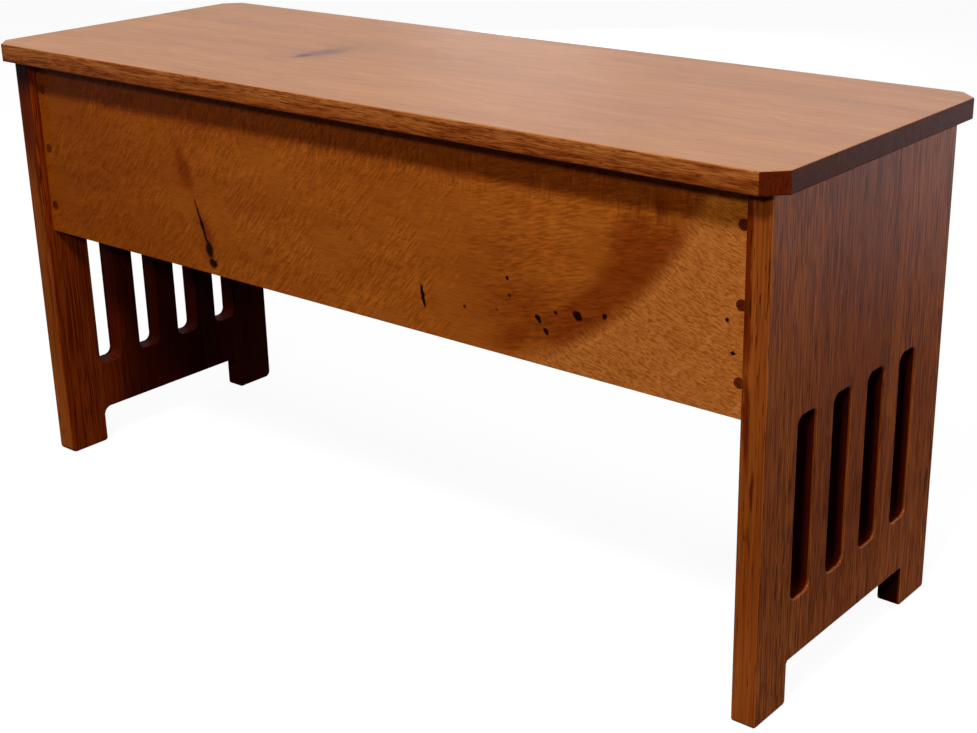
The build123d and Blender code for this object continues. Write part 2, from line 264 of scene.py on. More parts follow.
def end_panel(side, materials):
    """An end panel: feet, arch and four slots, with every arris rounded but the top's, which the lid covers. The
    first material is for the outer face and the second for the rest."""
    low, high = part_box(f"{side}_end_panel")
    bm = bmesh.new()
    arch_front = low.y + FOOT_WIDTH
    arch_back = high.y - FOOT_WIDTH
    top = high.z + PANEL_ARRIS
    flat_loop(bm, [
        (0, low.y, 0), (0, arch_front, 0), (0, arch_front, ARCH_HEIGHT), (0, arch_back, ARCH_HEIGHT),
        (0, arch_back, 0), (0, high.y, 0), (0, high.y, top), (0, low.y, top),
    ])

    def on_floor(co, places):
        return co.z < SAME_PLACE and min(abs(co.y - place) for place in places) < SAME_PLACE

    for radius, chosen in (
        (ARCH_CORNER_RADIUS[side], lambda co: abs(co.z - ARCH_HEIGHT) < SAME_PLACE),
        (TOE_RADIUS[side], lambda co: on_floor(co, (low.y, high.y))),
        (HEEL_RADIUS, lambda co: on_floor(co, (arch_front, arch_back))),
    ):
        # Each rounding leaves one new face in place of the last
        [outline] = bm.faces
        round_corners(bm, outline, radius, chosen)
    for place in range(SLOT_COUNT):
        front = (low.y + high.y - SLOT_WIDTH) / 2 + (place - (SLOT_COUNT - 1) / 2) * SLOT_PITCH
        back = front + SLOT_WIDTH
        slot_top = SLOT_BOTTOM + SLOT_HEIGHT
        slot = flat_loop(bm, [
            (0, front, SLOT_BOTTOM), (0, back, SLOT_BOTTOM), (0, back, slot_top), (0, front, slot_top),
        ])
        round_corners(bm, slot, SLOT_CORNER_RADIUS, lambda co: True)
    bmesh.ops.delete(bm, geom=bm.faces[:], context="FACES_ONLY")
    filled = bmesh.ops.triangle_fill(
        bm, edges=bm.edges[:], normal=(1, 0, 0), use_beauty=True, use_dissolve=False
    )
    faces = [item for item in filled["geom"] if isinstance(item, bmesh.types.BMFace)]
    rounded_slab(bm, faces, high.x - low.x, PANEL_ARRIS)
    everything = bm.verts[:] + bm.edges[:] + bm.faces[:]
    cut = bmesh.ops.bisect_plane(
        bm, geom=everything, plane_co=(0, 0, high.z), plane_no=(0, 0, 1), clear_outer=True
    )
    rim = [item for item in cut["geom_cut"] if isinstance(item, bmesh.types.BMEdge)]
    bmesh.ops.edgeloop_fill(bm, edges=rim)
    bm.normal_update()
    outward = math.copysign(1, low.x)
    for face in bm.faces:
        face.material_index = 0 if face.normal.x * outward > FACING else 1
    bmesh.ops.translate(bm, vec=Vector(((low.x + high.x) / 2, 0, 0)), verts=bm.verts)
    make_piece(bm, f"{side}_panel", "root", materials, [f"{side}_end_panel"])


def seat_lid(materials):
    """The seat lid, its four corners clipped and its arrises just taken off. The materials are for its faces, its
    edges and its ends."""
    low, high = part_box("lid")
    bm = bmesh.new()
    clip = LID_CORNER_CLIP
    half_x = (high.x - low.x) / 2
    half_y = (high.y - low.y) / 2
    outline = flat_loop(bm, [
        (0, clip - half_y, -half_x), (0, half_y - clip, -half_x), (0, half_y, clip - half_x),
        (0, half_y, half_x - clip), (0, half_y - clip, half_x), (0, clip - half_y, half_x),
        (0, -half_y, half_x - clip), (0, -half_y, clip - half_x),
    ])
    rounded_slab(bm, [outline], high.z - low.z, LID_ARRIS)
    bmesh.ops.rotate(bm, cent=(0, 0, 0), matrix=Matrix.Rotation(math.radians(90), 3, "Y"), verts=bm.verts)
    bmesh.ops.translate(bm, vec=(low + high) / 2, verts=bm.verts)
    bm.normal_update()
    for face in bm.faces:
        across, _, up = (abs(part) for part in face.normal)
        if up > FACING:
            face.material_index = 0
        elif across > FACING * up + END_FACING:
            face.material_index = 2
        else:
            face.material_index = 1
    make_piece(bm, "seat_lid_board", "seat_lid", materials, ["lid"])


def front_board(material):
    """The wide front board, its lower front arris rounded."""
    low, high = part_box("front_board")
    bm = bmesh.new()
    bmesh.ops.create_cube(bm, size=1)
    bmesh.ops.scale(bm, vec=high - low, verts=bm.verts)
    bmesh.ops.translate(bm, vec=(low + high) / 2, verts=bm.verts)
    lower = [edge for edge in bm.edges if all(v.co.z < low.z + mm and v.co.y < low.y + mm for v in edge.verts)]
    bmesh.ops.bevel(
        bm, geom=lower, offset=BOARD_ARRIS, affect="EDGES", segments=BOARD_ARRIS_STEPS, profile=0.5, material=-1
    )
    make_piece(bm, "front_apron", "root", [material], ["front_board"])


def solids_of(node):
    """The lowest and the highest corner of each solid in a CAD node."""
    bm = bmesh.new()
    bm.from_mesh(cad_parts[node].data)
    bmesh.ops.remove_doubles(bm, verts=bm.verts, dist=SAME_PLACE)
    boxes = []
    left = set(bm.verts)
    while left:
        group = [left.pop()]
        for vert in group:
            for edge in vert.link_edges:
                other = edge.other_vert(vert)
                if other in left:
                    left.discard(other)
                    group.append(other)
        points = [vert.co for vert in group]
        low = Vector(min(point[axis] for point in points) for axis in range(3))
        high = Vector(max(point[axis] for point in points) for axis in range(3))
        boxes.append((low, high))
    bm.free()
    return boxes


def front_plugs(material):
    """Round plugs over the board's screws, sanded to a hair above it, each with its rim just taken off."""
    bm = bmesh.new()
    for low, high in solids_of("front_plugs"):
        radius = (high.z - low.z) / 2
        upright = Matrix.Rotation(math.radians(90), 4, "X")
        made = bmesh.ops.create_cone(
            bm, cap_ends=True, segments=PLUG_SIDES, radius1=radius, radius2=radius, depth=high.y - low.y,
            matrix=Matrix.Translation((low + high) / 2) @ upright,
        )
        edges = {edge for vert in made["verts"] for edge in vert.link_edges}
        front = [edge for edge in edges if all(vert.co.y < low.y + mm for vert in edge.verts)]
        bmesh.ops.bevel(
            bm, geom=front, offset=PLUG_ARRIS, affect="EDGES", segments=PLUG_ARRIS_STEPS, profile=0.5, material=-1
        )
    bmesh.ops.translate(bm, vec=(0, -PLUG_RISE, 0), verts=bm.verts)
    make_piece(bm, "front_apron_plugs", "root", [material], ["front_plugs"])


# The finishes. Oak's fibres are a few hundredths of a millimetre wide and its pores two or three tenths, and the
# render has about a millimetre to a pixel, so both are drawn about a millimetre wide, and longer to match.


def linear(colour):
    """An sRGB hex colour as linear red, green, blue and alpha."""
    parts = [int(colour[i:i + 2], 16) / 255 for i in (1, 3, 5)]
    return [c / 12.92 if c <= 0.04045 else ((c + 0.055) / 1.055) ** 2.4 for c in parts] + [1]


def new_material(name, **finish):
    """A material, its node tree and its shader, with the finish's constants on the shader's own sockets."""
    material = bpy.data.materials.new(name)
    material.use_nodes = True
    shader = material.node_tree.nodes["Principled BSDF"]
    for socket, value in finish.items():
        shader.inputs[socket.replace("_", " ")].default_value = value
    return material, material.node_tree, shader


def add(tree, kind, links=None, **settings):
    """A node with its settings, and its inputs linked or set."""
    node = tree.nodes.new(kind)
    for name, value in settings.items():
        setattr(node, name, value)
    for socket, source in (links or {}).items():
        if isinstance(source, bpy.types.NodeSocket):
            tree.links.new(source, node.inputs[socket])
        else:
            node.inputs[socket].default_value = source
    return node


# A Mix node's colour inputs and output, by their numbers
FACTOR, FIRST, SECOND, MIXED = 0, 6, 7, 2


def streaks(tree, place, along, length, width, detail=2.0):
    """Noise drawn out along one axis, in marks about this long and this wide."""
    scale = [1 / width] * 3
    scale["XYZ".index(along)] = 1 / length
    drawn = add(tree, "ShaderNodeMapping", {"Vector": place, "Scale": scale})
    noise = add(tree, "ShaderNodeTexNoise", {"Vector": drawn.outputs[0], "Scale": 1.0, "Detail": detail})
    return noise.outputs[0]


def swayed(tree, place, reach, amount):
    """The same place, pushed about softly, so that lines drawn on it bend a little every reach."""
    noise = add(tree, "ShaderNodeTexNoise", {"Vector": place, "Scale": 1 / reach, "Detail": 1.0})
    middle = add(tree, "ShaderNodeVectorMath", {0: noise.outputs[1], 1: (0.5, 0.5, 0.5)}, operation="SUBTRACT")
    push = add(tree, "ShaderNodeVectorMath", {0: middle.outputs[0], "Scale": amount}, operation="SCALE")
    return add(tree, "ShaderNodeVectorMath", {0: place, 1: push.outputs[0]}, operation="ADD").outputs[0]


def where_past(tree, *limits):
    """A share that is 1 where every value is past its end, 0 where any isn't past its start, smooth between."""
    share = 1.0
    for value, start, end in limits:
        share = add(
            tree, "ShaderNodeMapRange", {0: value, 1: start, 2: end, 3: 0.0, 4: share},
            interpolation_type="SMOOTHSTEP",
        ).outputs[0]
    return share


def layered(tree, colour, *layers):
    """The colour under patterns that lie one over another. For each, its value, where that starts to show and
    where it is full, and the shares of red, green and blue that it leaves."""
    for pattern, start, end, shade in layers:
        share = where_past(tree, (pattern, start, end))
        colour = add(
            tree, "ShaderNodeMix", {FACTOR: share, FIRST: colour, SECOND: (*shade, 1)},
            data_type="RGBA", blend_type="MULTIPLY",
        ).outputs[MIXED]
    return colour


def marks(tree, place, spots):
    """How strongly a mark shows here, from 0 to 1. Spots are soft ovals in the plane of the first two axes:
    middle, half length and half width in millimetres, rise in degrees, softness of the rim and depth."""
    strongest = None
    for across, up, half_length, half_width, rise, softness, depth in spots:
        oval = add(tree, "ShaderNodeMapping", {
            "Vector": place,
            "Location": (across * mm, up * mm, 0),
            "Rotation": (0, 0, math.radians(rise)),
            "Scale": (half_length * mm, half_width * mm, MARK_REACH),
        }, vector_type="TEXTURE")
        hill = add(tree, "ShaderNodeTexGradient", {"Vector": oval.outputs[0]}, gradient_type="SPHERICAL")
        spot = add(
            tree, "ShaderNodeMapRange", {0: hill.outputs[1], 1: 0.0, 2: softness, 3: 0.0, 4: depth},
            interpolation_type="SMOOTHSTEP",
        ).outputs[0]
        if strongest:
            spot = add(tree, "ShaderNodeMath", {0: strongest, 1: spot}, operation="MAXIMUM").outputs[0]
        strongest = spot
    return strongest


def oak_pores(tree, place, along, length, width, extra=0.0):
    """Open pores: short dark dashes along the grain, closer together in some growth bands than in others. Extra
    is how much more of the wood they take up."""
    dashes = streaks(tree, place, along, length, width, detail=1.0)
    bands = streaks(tree, place, along, 400 * mm, 9 * mm)
    # The dashes' noise shows where it gets past a limit, which is lower in the bands with more pores
    few, many = 0.70 - extra, 0.56 - extra
    limit = add(tree, "ShaderNodeMapRange", {0: bands, 1: 0.35, 2: 0.65, 3: few, 4: many}).outputs[0]
    over = add(tree, "ShaderNodeMath", {0: dashes, 1: limit}, operation="SUBTRACT").outputs[0]
    return where_past(tree, (over, 0.0, 0.09))


def finish_oak(tree, shader, colour, pores, fibres, smooth, rough, depth):
    """Oak's colour on the shader, with a bump for its pores and a sheen that its fibres break up: smooth between
    them and rough on them."""
    tree.links.new(colour, shader.inputs["Base Color"])
    sheen = add(tree, "ShaderNodeMapRange", {0: fibres, 1: 0.3, 2: 0.7, 3: smooth, 4: rough})
    tree.links.new(sheen.outputs[0], shader.inputs["Roughness"])
    height = add(tree, "ShaderNodeMath", {0: pores, 1: -1.0, 2: fibres}, operation="MULTIPLY_ADD")
    bump = add(tree, "ShaderNodeBump", {"Strength": 0.35, "Distance": depth, "Height": height.outputs[0]})
    tree.links.new(bump.outputs[0], shader.inputs["Normal"])


def lid_face_oak():
    """Plain-sawn oak under a satin lacquer that mirrors the room at a low angle, so its grain looks washed and
    soft. Its dark knot is tinted bluish, a painted reflection of the room over it."""
    material, tree, shader = new_material("Lacquered oak, seat face", Specular_IOR_Level=0.5)
    place = swayed(tree, add(tree, "ShaderNodeTexCoord").outputs["Object"], 160 * mm, 14 * mm)
    fibres = streaks(tree, place, "X", 60 * mm, 1.6 * mm, detail=3.0)
    clouds = streaks(tree, place, "X", 210 * mm, 32 * mm)
    bands = streaks(tree, place, "X", 320 * mm, 7 * mm)
    pores = oak_pores(tree, place, "X", 16 * mm, 1.2 * mm)
    knots = marks(tree, swayed(tree, place, 9 * mm, 6 * mm), LID_KNOTS)
    tone = add(tree, "ShaderNodeMix", {
        FACTOR: clouds, FIRST: linear("#8F5428"), SECOND: linear("#B8783B"),
    }, data_type="RGBA").outputs[MIXED]
    tone = layered(
        tree, tone,
        (fibres, 0.35, 0.75, (0.88, 0.84, 0.79)),
        (bands, 0.50, 0.75, (0.92, 0.89, 0.86)),
        (pores, 0.0, 1.0, (0.86, 0.80, 0.74)),
        # A dark knot, its bluish cast a painted reflection
        (knots, 0.0, 1.0, (0.20, 0.09, 0.40)),
    )
    finish_oak(tree, shader, tone, pores, fibres, smooth=0.36, rough=0.46, depth=0.08 * mm)
    return material


def end_grain_tone(tree, place, dark, pale):
    """Sawn end grain: close lines along Y, broken by the mouths of the pores."""
    rings = streaks(tree, place, "Z", 22 * mm, 1.2 * mm)
    specks = streaks(tree, place, "Z", 5 * mm, 0.9 * mm)
    tone = add(tree, "ShaderNodeMix", {
        FACTOR: rings, FIRST: linear(dark), SECOND: linear(pale),
    }, data_type="RGBA").outputs[MIXED]
    return layered(tree, tone, (specks, 0.48, 0.68, (0.58, 0.48, 0.42))), specks


def lid_edge_oak():
    """The lid's sawn edges: honey-coloured long grain along the sides, and thirsty dark end grain on the clips."""
    material, tree, shader = new_material("Lacquered oak, seat edge", Specular_IOR_Level=0.04)
    texture = add(tree, "ShaderNodeTexCoord").outputs
    place = swayed(tree, texture["Object"], 90 * mm, 5 * mm)
    fibres = streaks(tree, place, "X", 20 * mm, 0.9 * mm, detail=3.0)
    bands = streaks(tree, place, "X", 70 * mm, 3.2 * mm)
    pores = oak_pores(tree, place, "X", 10 * mm, 0.8 * mm, extra=0.06)
    low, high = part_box("lid")
    height = add(tree, "ShaderNodeSeparateXYZ", {0: texture["Object"]}).outputs[2]
    # The edges are darker towards the bottom: a painted shade
    rise = add(tree, "ShaderNodeMapRange", {0: height, 1: low.z, 2: high.z}).outputs[0]
    tone = add(tree, "ShaderNodeMix", {
        FACTOR: rise, FIRST: linear("#9A4D17"), SECOND: linear("#C77838"),
    }, data_type="RGBA").outputs[MIXED]
    tone = layered(
        tree, tone,
        (bands, 0.42, 0.66, (0.60, 0.44, 0.34)),
        (fibres, 0.42, 0.64, (0.60, 0.48, 0.38)),
        (pores, 0.0, 1.0, (0.60, 0.44, 0.36)),
    )
    facing = add(tree, "ShaderNodeSeparateXYZ", {0: texture["Normal"]}).outputs[0]
    endward = add(tree, "ShaderNodeMath", {0: facing}, operation="ABSOLUTE").outputs[0]
    ends = where_past(tree, (endward, 0.45, 0.65))
    end = end_grain_tone(tree, place, "#441304", "#70270A")[0]
    both = add(tree, "ShaderNodeMix", {FACTOR: ends, FIRST: tone, SECOND: end}, data_type="RGBA").outputs[MIXED]
    finish_oak(tree, shader, both, pores, fibres, smooth=0.38, rough=0.5, depth=0.1 * mm)
    return material


def lid_end_oak():
    """The lid's two ends: end grain that drank the stain, under lacquer that mirrors the pale room."""
    material, tree, shader = new_material("Lacquered oak, seat end", Specular_IOR_Level=0.12)
    place = swayed(tree, add(tree, "ShaderNodeTexCoord").outputs["Object"], 90 * mm, 5 * mm)
    tone, specks = end_grain_tone(tree, place, "#3A1406", "#5E270E")
    finish_oak(tree, shader, tone, specks, specks, smooth=0.36, rough=0.5, depth=0.1 * mm)
    return material


def board_oak():
    """Quarter-sawn oak: ray fleck, pin knots, a cracked knot, and a dark stain with golden wood beyond its rim."""
    material, tree, shader = new_material("Lacquered oak, quarter-sawn board", Specular_IOR_Level=0.04)
    body = add(tree, "ShaderNodeTexCoord").outputs["Object"]
    upright = add(tree, "ShaderNodeMapping", {"Vector": body, "Rotation": (math.radians(-90), 0, 0)}).outputs[0]
    place = swayed(tree, upright, 120 * mm, 8 * mm)
    where = add(tree, "ShaderNodeSeparateXYZ", {0: place}).outputs
    depth = add(tree, "ShaderNodeSeparateXYZ", {0: body}).outputs[1]
    marked = where_past(tree, (depth, *IN_FRONT))

    # Darker to the left, a painted shade where the light falls off, and redder there, and golden outside the stain's
    # rim
    clouds = streaks(tree, place, "X", 120 * mm, 30 * mm)
    tone = add(tree, "ShaderNodeMix", {
        FACTOR: clouds, FIRST: linear("#9B4A10"), SECOND: linear("#BE6720"),
    }, data_type="RGBA").outputs[MIXED]
    tone = layered(tree, tone, (where[0], *REDDER_AND_SHADED_LEFT, (0.80, 0.70, 0.32)))
    spoke = add(tree, "ShaderNodeMapping", {
        "Vector": place, "Location": (-RIM_MIDDLE[0], -RIM_MIDDLE[1], 0), "Scale": (1, 1, 0),
    }).outputs[0]
    reach = add(tree, "ShaderNodeVectorMath", {0: spoke}, operation="LENGTH").outputs["Value"]
    past = add(tree, "ShaderNodeMath", {0: reach, 1: RIM_RADIUS}, operation="SUBTRACT").outputs[0]
    right = where_past(tree, (where[0], *RIGHT_OF_RIM))
    gold = where_past(tree, (past, *RIM_BLUR), (where[0], *RIGHT_OF_RIM), (depth, *IN_FRONT))
    tone = add(tree, "ShaderNodeMix", {
        FACTOR: gold, FIRST: tone, SECOND: linear("#CC7935"),
    }, data_type="RGBA").outputs[MIXED]

    # Grain runs downhill to the right from the rim, and levels out
    outward = add(tree, "ShaderNodeMapRange", {0: past, 1: 0.0, 2: GRAIN_DROP_REACH, 3: 0.0, 4: 1.0}).outputs[0]
    easing = add(tree, "ShaderNodeMath", {0: outward, 1: GRAIN_DROP_EASE}, operation="POWER").outputs[0]
    lift = add(tree, "ShaderNodeMath", {0: easing, 1: GRAIN_DROP}, operation="MULTIPLY").outputs[0]
    lift = add(tree, "ShaderNodeMath", {0: lift, 1: right}, operation="MULTIPLY").outputs[0]
    lifted = add(tree, "ShaderNodeCombineXYZ", {"Y": lift}).outputs[0]
    grained = add(tree, "ShaderNodeVectorMath", {0: place, 1: lifted}, operation="ADD").outputs[0]

    # A painted shadow of the lid in a strip under it, browner where the wood is golden, and fine fibres all over
    fibres = streaks(tree, grained, "X", 15 * mm, 1.1 * mm, detail=3.0)
    tone = layered(
        tree, tone,
        (where_past(tree, (where[1], *LID_SHADOW_HEIGHTS), (gold, 1, 0)), 0.0, 1.0, (0.76, 0.60, 0.40)),
        (where_past(tree, (where[1], *LID_SHADOW_HEIGHTS), (gold, 0, 1)), 0.0, 1.0, (1.0, 0.94, 0.50)),
        (fibres, 0.40, 0.70, (0.82, 0.75, 0.64)),
    )

    # Ray fleck leans across the grain, paler and darker in turn, stronger in some drifts than in others
    for lean, length, width, axis, start, end in FLECKS:
        leaning = add(tree, "ShaderNodeMapping", {
            "Vector": place, "Rotation": (0, 0, math.radians(-lean)),
        }).outputs[0]
        fleck = streaks(tree, leaning, "X", length * mm, width * mm, detail=1.5)
        drifts = streaks(tree, leaning, "Y", 60 * mm, 50 * mm)
        amount = where_past(tree, (drifts, 0.25, 0.55), (where[axis], start * mm, end * mm), (gold, 0.8, 0.0))
        swing = add(tree, "ShaderNodeMath", {0: fleck, 1: 0.5}, operation="SUBTRACT").outputs[0]
        shown = add(tree, "ShaderNodeMath", {0: swing, 1: amount, 2: 0.5}, operation="MULTIPLY_ADD").outputs[0]
        tone = layered(
            tree, tone,
            (shown, 0.51, 0.66, (1.22, 1.24, 1.20)),
            (shown, 0.49, 0.36, (0.80, 0.74, 0.62)),
        )

    # Pores are short dark dashes in the golden part, between paler growth rings that follow the stain's rim
    dashes = streaks(tree, grained, "X", 5.0 * mm, 0.8 * mm, detail=1.0)
    pores = where_past(tree, (dashes, 0.47, 0.62), (gold, -0.2, 0.7))
    ring_place = add(tree, "ShaderNodeMath", {0: past, 1: 1 / RING_WIDTH}, operation="MULTIPLY").outputs[0]
    rings = add(tree, "ShaderNodeTexNoise", {"W": ring_place, "Scale": 1.0}, noise_dimensions="1D").outputs[0]
    arcs = add(tree, "ShaderNodeMath", {0: rings, 1: gold}, operation="MULTIPLY").outputs[0]

    # Stains, weak in the golden part, and then knots and cracks, whose rims waver
    stain = marks(tree, swayed(tree, upright, 40 * mm, 14 * mm), BOARD_STAINS)
    arc = where_past(tree, (past, *STAIN_ARC), (where[0], *STAIN_ARC_LEFT), (where[1], *STAIN_ARC_TOP))
    stain = add(tree, "ShaderNodeMath", {0: stain, 1: arc}, operation="MAXIMUM").outputs[0]
    held = add(tree, "ShaderNodeMapRange", {0: gold, 1: 0.0, 2: 1.0, 3: 1.0, 4: 0.12}).outputs[0]
    stain = add(tree, "ShaderNodeMath", {0: stain, 1: held}, operation="MULTIPLY").outputs[0]
    stain = add(tree, "ShaderNodeMath", {0: stain, 1: marked}, operation="MULTIPLY").outputs[0]
    knots = marks(tree, swayed(tree, upright, 5 * mm, 3 * mm), BOARD_KNOTS)
    knots = add(tree, "ShaderNodeMath", {0: knots, 1: marked}, operation="MULTIPLY").outputs[0]
    tone = layered(
        tree, tone,
        (pores, 0.0, 1.0, (0.68, 0.53, 0.36)),
        (arcs, 0.52, 0.70, (1.14, 1.18, 1.25)),
        (stain, 0.0, 1.0, (0.60, 0.44, 0.40)),
        (knots, 0.0, 1.0, (0.03, 0.012, 0.01)),
    )
    finish_oak(tree, shader, tone, pores, fibres, smooth=0.40, rough=0.52, depth=0.1 * mm)
    return material


def panel_oak(name, level, smooth, rough, fibre_length, extra_pores):
    """Plain-sawn oak on end, three staves glued edge to edge, its fine dark pores filled with stain. The inner faces
    and the insides of the slots and the arch are darkened with painted shade. Level is how much the lacquer
    mirrors, and the rest is as in finish_oak and oak_pores."""
    material, tree, shader = new_material(name, Specular_IOR_Level=level)
    texture = add(tree, "ShaderNodeTexCoord").outputs
    body = texture["Object"]
    across, depth, height = add(tree, "ShaderNodeSeparateXYZ", {0: body}).outputs
    facing_x, facing_y, _ = add(tree, "ShaderNodeSeparateXYZ", {0: texture["Normal"]}).outputs

    # The staves differ in tone, and each starts its grain afresh. The back stave is paler and bluer, partly a
    # painted sheen
    first, second = (
        add(tree, "ShaderNodeMath", {0: depth, 1: seam}, operation="GREATER_THAN").outputs[0] for seam in STAVE_SEAMS
    )
    stave = add(tree, "ShaderNodeMath", {0: first, 1: second}, operation="ADD").outputs[0]
    jump = add(tree, "ShaderNodeCombineXYZ", {"X": stave, "Z": stave}).outputs[0]
    place = add(tree, "ShaderNodeVectorMath", {0: body, 1: jump}, operation="ADD").outputs[0]
    place = swayed(tree, place, 150 * mm, 7 * mm)
    fibres = streaks(tree, place, "Z", fibre_length, 1.1 * mm, detail=3.0)
    bands = streaks(tree, place, "Z", 420 * mm, 9 * mm)
    pores = oak_pores(tree, place, "Z", 26 * mm, 1.05 * mm, extra_pores)
    tone = add(tree, "ShaderNodeMix", {
        FACTOR: bands, FIRST: linear("#8C3F0F"), SECOND: linear("#C86C26"),
    }, data_type="RGBA").outputs[MIXED]
    # Lines along the fibres are half as strong on the front edges
    lines = where_past(tree, (fibres, 0.44, 0.60), (facing_y, *HALF_IN_FRONT))
    tone = layered(
        tree, tone,
        (stave, 0.2, 0.8, (0.86, 0.80, 0.86)),
        (stave, 1.2, 1.8, (1.22, 1.28, 1.45)),
        (lines, 0.0, 1.0, (0.44, 0.34, 0.28)),
        (pores, 0.0, 1.0, (0.36, 0.26, 0.22)),
    )
    for seam in STAVE_SEAMS:
        off = add(tree, "ShaderNodeMath", {0: depth, 1: seam}, operation="SUBTRACT").outputs[0]
        near = add(tree, "ShaderNodeMath", {0: off}, operation="ABSOLUTE").outputs[0]
        tone = layered(tree, tone, (near, *SEAM_WIDTH, (0.62, 0.55, 0.5)))

    # The front edges are a shade darker, with dark streaks down them, and the left one has the lid's shadow painted
    # under the lid
    front = where_past(tree, (facing_y, *FRONTWARD))
    upright = add(tree, "ShaderNodeMapping", {"Vector": body, "Rotation": (math.radians(-90), 0, 0)}).outputs[0]
    streak_and_shadow = marks(tree, swayed(tree, upright, 14 * mm, 3 * mm), EDGE_STREAKS_AND_LID_SHADOW)
    streak_and_shadow = add(tree, "ShaderNodeMath", {0: streak_and_shadow, 1: front}, operation="MULTIPLY").outputs[0]
    lid_shadow_on_edge = where_past(tree, (facing_y, *FRONTWARD), (across, *LEFT_END), (height, *EDGE_LID_SHADOW_TOP))

    # Everything but the inner faces is painted paler and bluer towards the feet, painted light and sheen, and the
    # inner faces get painted shade that darkens towards the back
    side = add(tree, "ShaderNodeMath", {0: across}, operation="SIGN").outputs[0]
    outward = add(tree, "ShaderNodeMath", {0: facing_x, 1: side}, operation="MULTIPLY").outputs[0]
    foot_light_and_sheen = where_past(tree, (outward, *NOT_INWARD), (height, *PALER_FEET))
    shaded = where_past(tree, (outward, *INWARD), (depth, *INNER_SHADE))
    deeper = where_past(tree, (outward, *INWARD), (depth, *DEEPER_SHADE))

    # The insides of the slots and the arch get painted shade, but for the rim by the outer face
    edgewise = add(tree, "ShaderNodeMath", {0: facing_x}, operation="ABSOLUTE").outputs[0]
    aside = add(tree, "ShaderNodeMath", {0: depth}, operation="ABSOLUTE").outputs[0]
    along = add(tree, "ShaderNodeMath", {0: across}, operation="ABSOLUTE").outputs[0]
    outer_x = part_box("right_end_panel")[1].x
    cut = where_past(
        tree, (edgewise, *ACROSS_THE_THICKNESS), (aside, *OPENINGS_WIDTH), (height, *OPENINGS_TOP),
        (along, outer_x - OUTER_RIM[0], outer_x - OUTER_RIM[1]),
    )
    arch_heel_shade = where_past(tree, (facing_y, *FRONTWARD), (aside, *OPENINGS_WIDTH), (height, *ARCH_TOP))
    tone = layered(
        tree, tone,
        (streak_and_shadow, 0.0, 1.0, (0.46, 0.24, 0.16)),
        (facing_y, *FRONTWARD, (0.76, 0.70, 0.72)),
        # Painted shadow of the lid on the left front edge
        (lid_shadow_on_edge, 0.0, 1.0, (0.16, 0.10, 0.08)),
        # Painted light and sheen towards the feet
        (foot_light_and_sheen, 0.0, 1.0, (1.30, 1.38, 1.6)),
        # Painted shade on the inner faces, darker towards the back
        (outward, *INWARD, (0.80, 0.47, 0.32)),
        (shaded, 0.0, 1.0, (0.20, 0.14, 0.20)),
        (deeper, 0.0, 1.0, (0.5, 0.5, 0.5)),
        # Painted shade inside the slots and the arch
        (cut, 0.0, 1.0, (0.26, 0.10, 0.08)),
        # Painted shade on the front-facing face of the arch's back foot
        (arch_heel_shade, 0.0, 1.0, (0.35, 0.28, 0.28)),
    )
    finish_oak(tree, shader, tone, pores, fibres, smooth, rough, depth=0.4 * mm)
    return material


def plug_oak():
    """End-grain plugs: they drink the stain, so they are darker than the board, with fine specks."""
    material, tree, shader = new_material("Lacquered oak, end-grain plug", Specular_IOR_Level=0.04)
    place = add(tree, "ShaderNodeTexCoord").outputs["Object"]
    specks = add(tree, "ShaderNodeTexNoise", {"Vector": place, "Scale": 1 / (1.6 * mm), "Detail": 3.0}).outputs[0]
    drift = add(tree, "ShaderNodeTexNoise", {"Vector": place, "Scale": 1 / (38 * mm)}).outputs[0]
    tone = add(tree, "ShaderNodeMix", {
        FACTOR: drift, FIRST: linear("#481603"), SECOND: linear("#77330B"),
    }, data_type="RGBA").outputs[MIXED]
    tone = layered(tree, tone, (specks, 0.45, 0.7, (0.5, 0.42, 0.36)))
    finish_oak(tree, shader, tone, specks, drift, smooth=0.42, rough=0.5, depth=0.08 * mm)
    return material


def cleat_oak(along):
    """Unstained oak inside the box, planed and sealed: pale brown with fine open pores."""
    material, tree, shader = new_material(f"Sealed oak, grain along {along}", Specular_IOR_Level=0.25)
    place = swayed(tree, add(tree, "ShaderNodeTexCoord").outputs["Object"], 80 * mm, 4 * mm)
    fibres = streaks(tree, place, along, 45 * mm, 1.0 * mm, detail=3.0)
    bands = streaks(tree, place, along, 300 * mm, 5 * mm)
    pores = oak_pores(tree, place, along, 9 * mm, 0.7 * mm, extra=0.03)
    tone = add(tree, "ShaderNodeMix", {
        FACTOR: bands, FIRST: linear("#94683C"), SECOND: linear("#BE9560"),
    }, data_type="RGBA").outputs[MIXED]
    tone = layered(
        tree, tone,
        (fibres, 0.4, 0.75, (0.82, 0.76, 0.70)),
        (pores, 0.0, 1.0, (0.55, 0.46, 0.38)),
    )
    finish_oak(tree, shader, tone, pores, fibres, smooth=0.45, rough=0.6, depth=0.1 * mm)
    return material


